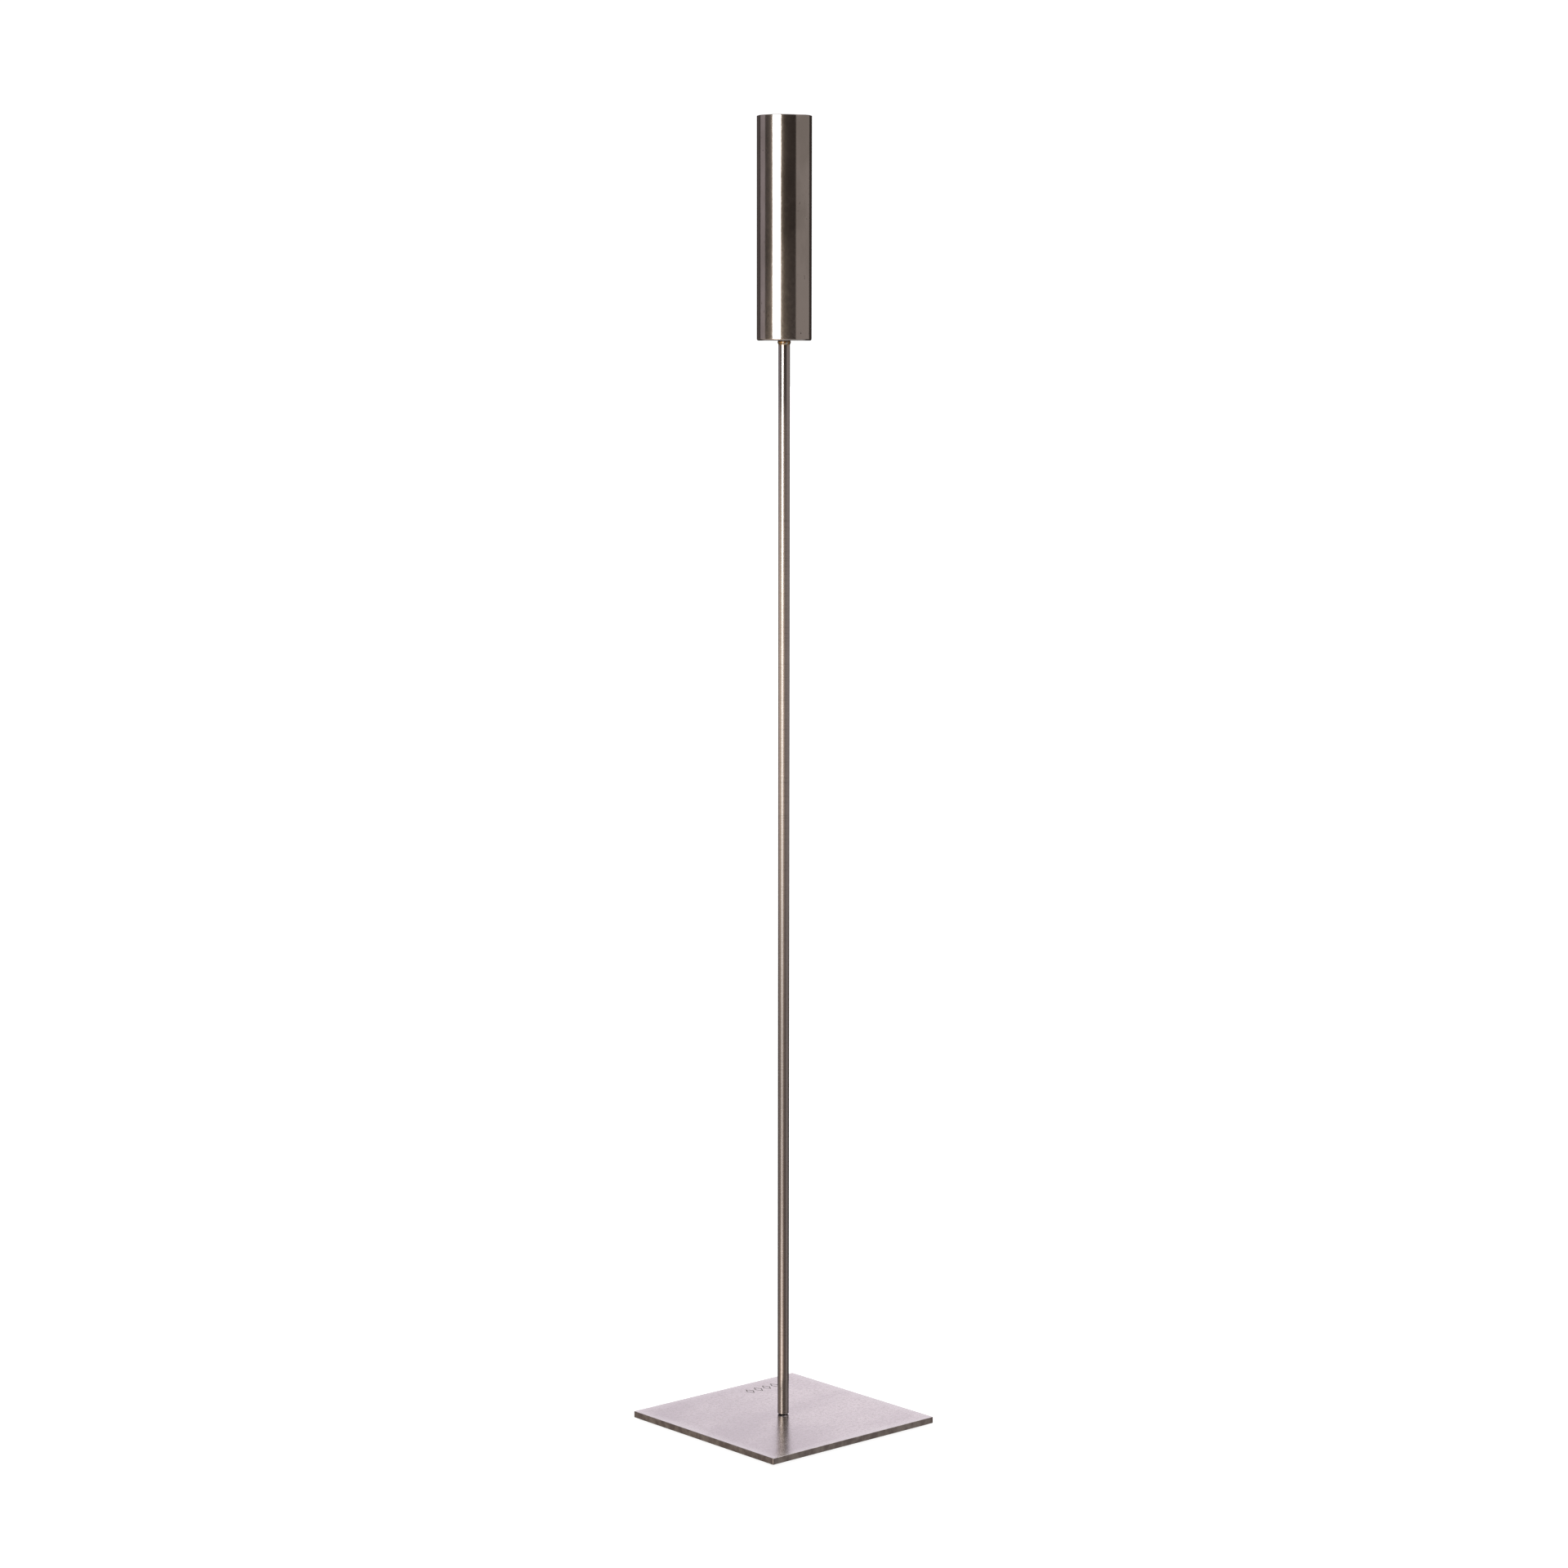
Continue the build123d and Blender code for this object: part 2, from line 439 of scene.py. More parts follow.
def turn_share(x, y):
    """How far round the Z axis a point is, in turns."""
    return y.maths("ARCTAN2", x) / FULL_TURN


def thread_recipe():
    """Cuts a helical thread into a plain shank between two heights."""
    sizes = dict.fromkeys(["Pitch", "Depth", "Start", "End"], "Float")
    nodes, given = recipe("screw_thread", sizes)

    def distance(x, y, z, radius):
        flank = (z / given["Pitch"] - turn_share(x, y)).maths("FRACT") - 0.5
        groove = 1.0 - flank.maths("ABSOLUTE") * 2.0
        run_in = nodes.ease(z, given["Start"], given["Start"] + given["Pitch"])
        run_out = nodes.ease(z, given["End"], given["End"] + given["Pitch"])
        return groove * run_in * (1.0 - run_out) * given["Depth"] * -1.0

    return serve(nodes, moved_outwards(nodes, given, distance), given)


def ripple_recipe():
    """Raises the overlapping ripples that a weld leaves as it goes round a joint."""
    sizes = dict.fromkeys(["Count", "Height", "Inner Radius", "Top", "Slant"], "Float")
    nodes, given = recipe("weld_ripples", sizes)

    def distance(x, y, z, radius):
        slanted = turn_share(x, y) * given["Count"] + (given["Top"] - z) * given["Slant"]
        crest = (slanted * math.pi).maths("SINE").maths("ABSOLUTE").maths("SQRT")
        inner = given["Inner Radius"]
        outside = nodes.ease(radius, inner, inner + 3 * given["Height"])
        return (crest - 1.0) * outside * given["Height"]

    return serve(nodes, moved_outwards(nodes, given, distance), given)


# ---------------------------------------------------------------- finishes

STEEL = (0.62, 0.595, 0.575)
BRIGHT_STEEL = (0.66, 0.64, 0.62)
DULL_STEEL = (0.43, 0.41, 0.395)
RIM_STEEL = (0.76, 0.755, 0.74)
STRAW = (0.62, 0.44, 0.20)
BRONZE = (0.42, 0.22, 0.085)
PURPLE = (0.26, 0.15, 0.19)
BLUE = (0.20, 0.24, 0.33)
ENGRAVED_DARK = (0.10, 0.092, 0.088)
# Painted shade where the stem meets the plate, and the colour of real scuffs on the cup
PAINTED_SHADE_AND_SCUFF = (0.07, 0.058, 0.05)

# The darker and the paler colour that each finish varies between
SHEET_TONES = (0.56, 0.53, 0.54), (0.78, 0.75, 0.74)
# The cut sides are darker partly by their own colour and partly by painted shade
EDGE_TONES_WITH_PAINTED_SHADE = (0.40, 0.365, 0.36), (0.60, 0.575, 0.55)
TUBE_TONES = (0.57, 0.545, 0.52), (0.68, 0.65, 0.63)
BAR_TONES = (0.57, 0.545, 0.55), (0.68, 0.65, 0.66)
SCREW_TONES = (0.36, 0.35, 0.34), (0.58, 0.57, 0.56)
RUBBER_TONES = (0.022, 0.021, 0.020), (0.045, 0.043, 0.041)


class Finish(Nodes):
    """The surface of a piece. Its patterns follow the piece's own axes."""

    def __init__(self, name):
        self.material = bpy.data.materials.new(name)
        self.material.use_nodes = True
        super().__init__(self.material.node_tree)
        self.tree.nodes.clear()
        self.place = self.node("ShaderNodeTexCoord", output="Object")
        self.x, self.y, self.z = self.split(self.place)

    def noise(self, scale, stretch=(1, 1, 1), place=None, detail=2.0, rough=0.5):
        """Noise from 0 to 1, its grains 1 / scale metres across and pulled long where stretch is small."""
        pulled = self.node(
            "ShaderNodeVectorMath",
            {0: place or self.place, 1: stretch},
            operation="MULTIPLY",
        )
        inputs = {"Vector": pulled, "Scale": scale, "Detail": detail, "Roughness": rough}
        return self.node("ShaderNodeTexNoise", inputs, "Fac")

    def twisted(self, turn):
        """The place, turned about Z by turn radians for each metre of height."""
        return self.node(
            "ShaderNodeVectorRotate",
            {"Vector": self.place, "Angle": self.z * turn},
            rotation_type="Z_AXIS",
        )

    def from_axis(self):
        """The distance from the Z axis."""
        return (self.x * self.x + self.y * self.y).maths("SQRT")

    def tool_rings(self, pitch):
        """The grooves that a lathe leaves round the Z axis, from 0 to 1 and a pitch apart."""
        return (self.from_axis() * (FULL_TURN / pitch)).maths("SINE") * 0.5 + 0.5

    def done(self, colour, roughness, relief=None, depth=0.0, metallic=1.0, **others):
        """The material, with relief from 0 to 1 standing as far out as depth."""
        inputs = {"Base Color": rgba(colour), "Roughness": roughness, "Metallic": metallic}
        inputs.update({name.replace("_", " "): value for name, value in others.items()})
        if relief is not None:
            inputs["Normal"] = self.node("ShaderNodeBump", {"Height": relief, "Distance": depth})
        self.node("ShaderNodeOutputMaterial", {"Surface": self.node("ShaderNodeBsdfPrincipled", inputs)})
        return self.material


# In the finishes below, a noise's first number is how many of its grains go into a metre, the ends of an ease
# are where its mask starts and is full, and what a mask is multiplied by is how strongly it shows

def satin_sheet():
    """Steel sheet with a short grain along X and the cloudiness of a rolled and hand-wiped surface, paler
    towards +X as a painted sheen, with painted shade in the seam round the stem's foot.
    """
    finish = Finish("satin_sheet")
    fine = finish.noise(2400, (0.05, 1, 1), detail=3)
    streaks = finish.noise(900, (0.25, 1, 1), detail=3, rough=0.6)
    grit = finish.noise(700, detail=5, rough=0.8)
    clouds = finish.noise(42, (0.5, 1, 1), detail=4, rough=0.6)
    specks = finish.ease(finish.noise(1300, detail=1), 0.70, 0.76)
    # Painted sheen: the sheet is made paler towards +X
    painted_sheen_along_x = finish.ease(finish.x, -PLATE_HALF, PLATE_HALF)
    edge = finish.x.maths("ABSOLUTE").maths("MAXIMUM", finish.y.maths("ABSOLUTE"))
    rim = finish.ease(edge + clouds * RIM_WIDTH, PLATE_HALF - 0.5 * RIM_WIDTH, PLATE_HALF + 0.5 * RIM_WIDTH)
    # Painted shade in the seam on the plate round the stem's foot
    painted_seam_shade = 1.0 - finish.ease(
        finish.from_axis(),
        STEM_FOOT_RADIUS + SEAM_SHADE_STARTS_TO_FADE,
        STEM_FOOT_RADIUS + SEAM_SHADE_FADED,
    )
    tone = finish.blend(finish.ease(clouds, 0.35, 0.65) * 0.5 + painted_sheen_along_x * 0.5, *SHEET_TONES)
    streaked = finish.blend(finish.ease(streaks, 0.5, 0.75) * 0.25, tone, DULL_STEEL)
    gritty = finish.blend(finish.ease(grit, 0.46, 0.62) * 0.48, streaked, DULL_STEEL)
    rimmed = finish.blend(rim * 0.6, gritty, RIM_STEEL)
    specked = finish.blend(specks * 0.5, rimmed, DULL_STEEL)
    colour = finish.blend(painted_seam_shade, specked, PAINTED_SHADE_AND_SCUFF)
    roughness = 0.14 + clouds * 0.1 + fine * 0.04 + grit * 0.04 + specks * 0.1
    return finish.done(colour, roughness, fine * 0.3 + streaks * 0.2 + grit * 0.5, depth=0.013 * MM)


def cut_edge():
    """The plate's cut sides: fine upright marks of the cut, in a mottled grey darker than the sheet, partly
    the cut's own colour and partly painted shade.
    """
    finish = Finish("cut_edge")
    marks = finish.noise(1300, (1, 1, 0.06), detail=3)
    mottle = finish.noise(240, (1, 1, 0.7), detail=3)
    colour = finish.blend(finish.ease(mottle, 0.35, 0.65), *EDGE_TONES_WITH_PAINTED_SHADE)
    return finish.done(colour, 0.24 + marks * 0.1 + mottle * 0.08, marks, depth=0.012 * MM)


def engraved_line():
    """The burnt and roughened bottom of an engraved line."""
    finish = Finish("engraved_line")
    burn = finish.noise(2600, detail=2)
    colour = finish.blend(burn, ENGRAVED_DARK, DULL_STEEL)
    return finish.done(colour, 0.5 + burn * 0.15, burn, depth=0.02 * MM, metallic=0.8)


def polished_tube():
    """Polished steel tube with the crossing scratches of its polishing wheel and a few stray scuffs."""
    finish = Finish("polished_tube")
    rising, falling = [
        finish.ease(finish.noise(3200, (1, 1, 0.14), finish.twisted(twist), detail=2), 0.5, 0.75)
        for twist in (HATCH_TWIST, -HATCH_TWIST)
    ]
    haze = finish.noise(60, (1, 1, 0.5), detail=3)
    patch = finish.ease(finish.noise(70, detail=2), 0.52, 0.62)
    scuffs = finish.ease(finish.noise(1100, (1, 1, 0.6), detail=2), 0.66, 0.72) * patch
    hatch = rising.maths("MAXIMUM", falling)
    steel = finish.blend(finish.ease(haze, 0.4, 0.6), *TUBE_TONES)
    hatched = finish.blend(hatch * 0.1, steel, DULL_STEEL)
    colour = finish.blend(scuffs * 0.7, hatched, PAINTED_SHADE_AND_SCUFF)
    roughness = 0.08 + haze * 0.05 + hatch * 0.04 + scuffs * 0.1
    return finish.done(colour, roughness, (rising + falling) * -1.0 - scuffs, depth=0.002 * MM)


def bored_tube():
    """The tube's inside: ring marks of the boring tool."""
    finish = Finish("bored_tube")
    rings = finish.noise(4000, (0.05, 0.05, 1), detail=2)
    stain = finish.noise(90, detail=3)
    colour = finish.blend(stain, DULL_STEEL, STEEL)
    return finish.done(colour, 0.28 + rings * 0.14, rings, depth=0.01 * MM)


def heat_tints(finish, steel, heat):
    """The colours that a weld's heat leaves on steel, with heat from 0, untouched, to 1, at the weld."""
    stops = [(0.0, steel), (0.35, steel), (0.55, STRAW), (0.75, BRONZE), (0.9, PURPLE), (1.0, BLUE)]
    return finish.node("ShaderNodeValToRGB", [heat], stops=stops)


def polished_bar():
    """Polished round bar with fine rings round it, buffed bright and a little tinted beside the weld, with
    painted shade darkening the lowest part of its foot.
    """
    finish = Finish("polished_bar")
    pepper = finish.noise(2600, (1, 1, 0.5), detail=2)
    rings = finish.noise(1500, (0.05, 0.05, 1), detail=3)
    haze = finish.noise(45, (1, 1, 0.6), detail=3)
    dull = 1.0 - finish.ease(finish.z, CUP_LOW.z - BUFFED_LENGTH, CUP_LOW.z - BUFFED_LENGTH / 2)
    warmth = finish.ease(finish.z, BEAD_LOW.z - TINTED_LENGTH, CUP_LOW.z)
    # Painted shade on the lowest part of the stem's foot, where it meets the plate
    painted_foot_shade = 1.0 - finish.ease(finish.z, STEM_LOW.z + FOOT_PAINTED_SHADE, STEM_LOW.z + 1.5 * FOOT_PAINTED_SHADE)
    steel = finish.blend(haze, *BAR_TONES)
    ringed = finish.blend(finish.ease(rings, 0.5, 0.75) * dull * 0.4, steel, DULL_STEEL)
    tinted = finish.blend(warmth * (0.55 + haze * 0.3), ringed, STRAW)
    colour = finish.blend(painted_foot_shade, tinted, PAINTED_SHADE_AND_SCUFF)
    roughness = 0.06 + dull * (0.05 + rings * 0.08) + haze * 0.03 + pepper * 0.02 + painted_foot_shade * 0.3
    return finish.done(colour, roughness, (pepper * 0.4 + rings * 0.6) * dull, depth=0.006 * MM)


def weld_metal():
    """Weld metal, from bright steel at its foot to straw and bronze where it meets the cup, in patches."""
    finish = Finish("weld_metal")
    patches = finish.noise(900, detail=2)
    up = finish.ease(finish.z, BEAD_LOW.z, BEAD_HIGH.z)
    colour = heat_tints(finish, BRIGHT_STEEL, 0.36 + up * 0.3 + (patches - 0.5) * 1.6)
    return finish.done(colour, 0.16 + patches * 0.16, patches, depth=0.02 * MM)


def faced_disc():
    """A disc faced on a lathe, tinted in rings round the weld in its middle."""
    finish = Finish("faced_disc")
    grooves = finish.tool_rings(FLOOR_TOOL_PITCH)
    patches = finish.noise(500, detail=2)
    ragged = finish.from_axis() + (patches - 0.5) * HEAT_RAGGEDNESS
    heat = 1.0 - finish.ease(ragged, STEM_RADIUS, TUBE_BORE_RADIUS * 0.7)
    colour = heat_tints(finish, STEEL, heat)
    return finish.done(colour, 0.22 + patches * 0.08, grooves * 0.5 + patches * 0.5, depth=0.006 * MM)


def pressed_disc():
    """Thin pressed steel with the rings of its spinning and a dull, wiped surface."""
    finish = Finish("pressed_disc")
    across = finish.node("ShaderNodeCombineXYZ", {"X": finish.from_axis(), "Z": finish.z})
    rings = finish.noise(3500, place=across, detail=2)
    wiped = finish.noise(160, detail=3)
    colour = finish.blend(wiped, DULL_STEEL, STEEL)
    return finish.done(colour, 0.26 + wiped * 0.12, rings, depth=0.008 * MM)


def screw_steel():
    """Turned steel, darkened by grime."""
    finish = Finish("screw_steel")
    grooves = finish.tool_rings(SCREW_TOOL_PITCH)
    grime = finish.noise(700, detail=3)
    colour = finish.blend(grime, *SCREW_TONES)
    return finish.done(colour, 0.26 + grime * 0.14, grooves * 0.4 + grime * 0.6, depth=0.006 * MM)


def foot_rubber():
    """Black rubber with a fine grain and a little dust."""
    finish = Finish("foot_rubber")
    grain = finish.noise(2200, detail=3)
    dust = finish.noise(180, detail=3)
    colour = finish.blend(dust, *RUBBER_TONES)
    return finish.done(colour, 0.62 + grain * 0.2, grain, depth=0.03 * MM, metallic=0.0)


# ---------------------------------------------------------------- pieces

def rounded_square(half, corner):
    """The (x, y) corners of a square with rounded corners, anticlockwise."""
    points = []
    centre = Vector((half - corner, half - corner))
    for quarter in range(4):
        turn = math.pi / 2 * quarter
        for step in range(ARC_STEPS + 1):
            angle = math.pi / 2 * step / ARC_STEPS
            x, y = centre + corner * Vector((math.cos(angle), math.sin(angle)))
            points.append((
                x * math.cos(turn) - y * math.sin(turn),
                x * math.sin(turn) + y * math.cos(turn),
            ))
    return points


def plate_blank():
    """The square plate before it is drilled and engraved: one ring of points for each step up its side."""
    low, high, ease = PLATE_LOW.z, PLATE_HIGH.z, PLATE_EDGE_ROUNDING
    steps = [math.pi / 2 * k / ARC_STEPS for k in range(ARC_STEPS + 1)]
    levels = [(ease * (1 - math.sin(a)), low + ease * (1 - math.cos(a))) for a in steps]
    levels += [(ease * (1 - math.cos(a)), high - ease * (1 - math.sin(a))) for a in steps]
    shape = bmesh.new()
    rings = []
    for inset, height in levels:
        outline = rounded_square(PLATE_HALF - inset, PLATE_CORNER - inset)
        rings.append([shape.verts.new((x, y, height)) for x, y in outline])
    shape.faces.new(rings[0][::-1])
    shape.faces.new(rings[-1])
    for lower, upper in zip(rings, rings[1:]):
        for k in range(len(lower)):
            after = (k + 1) % len(lower)
            side = shape.faces.new((lower[k], lower[after], upper[after], upper[k]))
            side.material_index = 1
    return shape


def lozenge_ring():
    """A bmesh of one lozenge outline, as deep as its engraving below the origin and as much above."""
    inner = 1 - 2 * MARK_LINE / MARK_WIDTH
    shape = bmesh.new()
    loops = []
    for share, height in [(1, -MARK_DEPTH), (1, MARK_DEPTH), (inner, MARK_DEPTH), (inner, -MARK_DEPTH)]:
        across, along = share * MARK_WIDTH / 2, share * MARK_HEIGHT / 2
        corners = [(across, 0), (0, along), (-across, 0), (0, -along)]
        loops.append([shape.verts.new((x, y, height)) for x, y in corners])
    for this, following in zip(loops, loops[1:] + loops[:1]):
        for k in range(4):
            after = (k + 1) % 4
            shape.faces.new((this[k], this[after], following[after], following[k]))
    return shape


def engraving_tool():
    """The cutter for the whole engraved row."""
    line = engraved_line()
    tool = piece_of("engraving_tool", lozenge_ring(), line)
    make_by(tool, row_recipe(), count=MARK_COUNT, pitch=MARK_PITCH, finish=line)
    right = PLATE_HALF - MARK_FROM_RIGHT_EDGE - MARK_WIDTH / 2
    back = PLATE_HALF - MARK_FROM_BACK_EDGE - MARK_HEIGHT / 2
    tool.location = (right - (MARK_COUNT - 1) * MARK_PITCH, back, PLATE_HIGH.z)
    return tool


def drill_tool():
    """The cutter for the screw's countersunk hole: a cone that narrows as fast as it rises, and the hole."""
    mouth = SCREW_HEAD_RADIUS + SCREW_HEAD_DEPTH
    outline = [
        (0, PLATE_LOW.z - mouth),
        (mouth * 2, PLATE_LOW.z - mouth),
        (SCREW_HOLE_RADIUS, PLATE_LOW.z + mouth - SCREW_HOLE_RADIUS),
        (SCREW_HOLE_RADIUS, PLATE_HIGH.z + mouth),
        (0, PLATE_HIGH.z + mouth),
    ]
    return piece_of("drill_tool", turned_shape(outline, DRILL_FACETS), screw_steel())


def keep_flats_flat(piece):
    """Shades the faces square to an axis flat, so that the roundings beside them don't pull their light."""
    mesh = piece.data
    mesh.set_sharp_from_angle(angle=CRISP_OVER)
    for face in mesh.polygons:
        if max(abs(part) for part in face.normal) > SQUARE_ON:
            face.use_smooth = False


def make_plate():
    """The square plate, drilled for its screw and engraved."""
    plate = piece_of("satin_plate", plate_blank(), satin_sheet(), cut_edge())
    cut_with(plate, drill_tool())
    cut_with(plate, engraving_tool())
    keep_flats_flat(plate)
    return plate


def make_feet():
    """A rubber foot, repeated under the plate's corners."""
    outline = eased_outline([
        (0, FEET_LOW.z, 0),
        (FOOT_RADIUS, FEET_LOW.z, FOOT_ROUNDING),
        (FOOT_RADIUS, FEET_HIGH.z, 0),
        (0, FEET_HIGH.z, 0),
    ])
    rubber = foot_rubber()
    feet = piece_of("corner_feet", turned_shape(outline, FOOT_FACETS), rubber)
    return make_by(feet, corners_recipe(), spacing=2 * (FEET_HIGH.x - FOOT_RADIUS), finish=rubber)


def make_screw():
    """A countersunk screw, its thread cut by a recipe and its key socket cut from below."""
    low, high = SCREW_LOW.z, SCREW_HIGH.z
    neck = low + SCREW_HEAD_RADIUS - SCREW_RADIUS
    shank_end = high - SCREW_TIP_CHAMFER
    divisions = round((shank_end - neck) / THREAD_PITCH * THREAD_STEPS)
    shank = [(SCREW_RADIUS, neck + (shank_end - neck) * k / divisions) for k in range(divisions + 1)]
    head = eased_outline([
        (0, low, 0),
        (SCREW_HEAD_RADIUS, low, SCREW_HEAD_EDGE),
        (SCREW_RADIUS, neck, 0),
    ])
    tip = [(SCREW_RADIUS - SCREW_TIP_CHAMFER, high), (0, high)]
    steel = screw_steel()
    screw = piece_of("socket_screw", turned_shape(head[:-1] + shank + tip, SCREW_FACETS), steel)
    make_by(
        screw,
        thread_recipe(),
        pitch=THREAD_PITCH,
        depth=THREAD_DEPTH,
        start=neck + SCREW_NECK,
        end=shank_end - THREAD_PITCH,
        finish=steel,
    )
    corners = [FULL_TURN * k / 6 for k in range(6)]
    sides = [(HEX_RADIUS * math.cos(a), HEX_RADIUS * math.sin(a)) for a in corners]
    cut_with(screw, piece_of("key_tool", prism(sides, low - HEX_DEPTH, low + HEX_DEPTH), steel))
    screw.data.set_sharp_from_angle(angle=CRISP_OVER)
    return screw


def make_stem():
    """The bar, with a chamfered and tapped foot, and a spigot on top that goes through the cup's floor."""
    hole = SCREW_RADIUS + TAPPED_HOLE_CLEARANCE
    hole_end = SCREW_HIGH.z + TAPPED_HOLE_SPARE
    outline = eased_outline([
        (0, hole_end + hole / 2, 0),
        (hole, hole_end, 0),
        (hole, STEM_LOW.z, 0),
        (STEM_FOOT_RADIUS, STEM_LOW.z, 0),
        (STEM_RADIUS, STEM_LOW.z + STEM_RADIUS - STEM_FOOT_RADIUS, STEM_FOOT_EASE),
        (STEM_RADIUS, CUP_LOW.z, 0),
        (SPIGOT_RADIUS, CUP_LOW.z, 0),
        (SPIGOT_RADIUS, STEM_HIGH.z, 0),
        (0, STEM_HIGH.z, 0),
    ])
    return piece_of("polished_stem", turned_shape(outline, STEM_FACETS), polished_bar())


def make_weld():
    """A ring of weld metal, narrow at its foot, bulging under the cup and rippled all the way round."""
    drop = BEAD_HIGH.z - BEAD_LOW.z
    bulge = BEAD_RADIUS - STEM_RADIUS
    outline = [(STEM_RADIUS, BEAD_HIGH.z)]
    for k in range(WELD_STEPS + 1):
        up = k / WELD_STEPS
        swell = math.sin(math.pi * up ** WELD_BULGE_POWER * WELD_BULGE_SHARE)
        outline.append((STEM_RADIUS + bulge * swell, BEAD_LOW.z + drop * up))
    metal = weld_metal()
    return make_by(
        piece_of("weld_ring", turned_shape(outline, WELD_FACETS, ring=True), metal),
        ripple_recipe(),
        count=RIPPLE_COUNT,
        height=RIPPLE_HEIGHT,
        inner_radius=STEM_RADIUS,
        top=BEAD_HIGH.z,
        slant=RIPPLE_SLANT,
        finish=metal,
    )


def make_sleeve():
    """The cup's tube. Its bore is wider from the candle's seat to the rim."""
    outline = eased_outline([
        (TUBE_BORE_RADIUS, CUP_LOW.z, FLOOR_EDGE_EASE),
        (CUP_RADIUS, CUP_LOW.z, CUP_LOWER_ROUNDING),
        (CUP_RADIUS, CUP_HIGH.z, CUP_RIM_ROUNDING),
        (SOCKET_RADIUS, CUP_HIGH.z, CUP_RIM_ROUNDING),
        (SOCKET_RADIUS, SEAT_HIGH.z, 0),
        (TUBE_BORE_RADIUS, SEAT_HIGH.z, SOCKET_STEP_EASE),
    ])
    shape = turned_shape(outline, ring=True)
    for face in shape.faces:
        inside = face.calc_center_median().xy.length < SOCKET_RADIUS + CUP_RIM_ROUNDING / 3
        face.material_index = 1 if inside else 0
    return piece_of("cup_tube", shape, polished_tube(), bored_tube())


def make_floor_disc():
    """The disc that closes the tube's lower end, with a hole for the stem's spigot."""
    outline = eased_outline([
        (SPIGOT_RADIUS, FLOOR_LOW.z, 0),
        (TUBE_BORE_RADIUS, FLOOR_LOW.z, FLOOR_EDGE_EASE),
        (TUBE_BORE_RADIUS, FLOOR_HIGH.z, FLOOR_EDGE_EASE),
        (SPIGOT_RADIUS, FLOOR_HIGH.z, 0),
    ])
    return piece_of("floor_disc", turned_shape(outline, ring=True), faced_disc())


def make_seat():
    """The flanged cap, pressed into the tube, that the candle stands on."""
    inner = TUBE_BORE_RADIUS - SEAT_THICKNESS
    underside = SEAT_HIGH.z - SEAT_THICKNESS
    outline = eased_outline([
        (inner, SEAT_LOW.z, SEAT_EDGE_EASE),
        (TUBE_BORE_RADIUS, SEAT_LOW.z, SEAT_EDGE_EASE),
        (TUBE_BORE_RADIUS, SEAT_HIGH.z, SEAT_BEND),
        (0, SEAT_HIGH.z, 0),
        (0, underside, 0),
        (inner, underside, SEAT_BEND - SEAT_THICKNESS),
    ])
    return piece_of("seat_cap", turned_shape(outline, ring=True), pressed_disc())


# How each piece is made, the node that it stands for and a slot's name
PIECES = [
    (make_plate, "base_plate", "plate_steel"),
    (make_feet, "rubber_feet", "foot_rubber"),
    (make_screw, "base_screw", "screw_steel"),
    (make_stem, "stem", "stem_steel"),
    (make_weld, "weld_bead", "weld_metal"),
    (make_sleeve, "cup_sleeve", "cup_steel"),
    (make_floor_disc, "cup_floor", "cup_steel"),
    (make_seat, "candle_seat", "seat_steel"),
]


def make_candlestick():
    """Makes every piece. All of them ride on the one rigid body."""
    for make, node, slot in PIECES:
        piece = make()
        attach(piece, BODY)
        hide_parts(node)


# ---------------------------------------------------------------- camera, floor and light

CAMERA_TURN = math.radians(-41.356)
CAMERA_DOWN = math.radians(6.808)
CAMERA_ROLL = math.radians(0.055)
CAMERA_DISTANCE = 1.7018
CAMERA_ABOVE_PLATE = 0.505
CAMERA_LENS = 85.26
CAMERA_SHIFT = 0.00015
CAMERA_CLIP = (0.05, 100)


def set_camera():
    """A camera that looks at the stem's axis, a little down, with the plate's corner towards it."""
    data = bpy.data.cameras.new("camera")
    data.lens = CAMERA_LENS
    data.shift_x = CAMERA_SHIFT
    data.clip_start, data.clip_end = CAMERA_CLIP
    camera = bpy.data.objects.new("camera", data)
    away = Vector((math.sin(CAMERA_TURN), -math.cos(CAMERA_TURN), 0))
    camera.location = away * CAMERA_DISTANCE + Vector((0, 0, PLATE_LOW.z + CAMERA_ABOVE_PLATE))
    level = Euler((math.pi / 2 - CAMERA_DOWN, 0, CAMERA_TURN)).to_quaternion()
    camera.rotation_mode = "QUATERNION"
    camera.rotation_quaternion = level @ Quaternion((0, 0, 1), CAMERA_ROLL)
    bpy.context.scene.collection.objects.link(camera)
    bpy.context.scene.camera = camera


FLOOR_WHITE = (0.35, 0.35, 0.35)
FLOOR_GLOW = 0.9
FLOOR_ROUGHNESS = 0.9
FLOOR_REACH = 30.0


def lay_floor():
    """A wide pale floor, lit from below so that shadows on it are faint. The metal mirrors cards instead."""
    shape = bmesh.new()
    corners = [(-1, -1), (1, -1), (1, 1), (-1, 1)]
    shape.faces.new([shape.verts.new((x * FLOOR_REACH, y * FLOOR_REACH, 0)) for x, y in corners])
    backlit = {"Emission_Color": (1, 1, 1, 1), "Emission_Strength": FLOOR_GLOW}
    white = Finish("white_floor").done(FLOOR_WHITE, FLOOR_ROUGHNESS, metallic=0.0, **backlit)
    floor = piece_of("studio_floor", shape, white)
    floor.visible_glossy = False


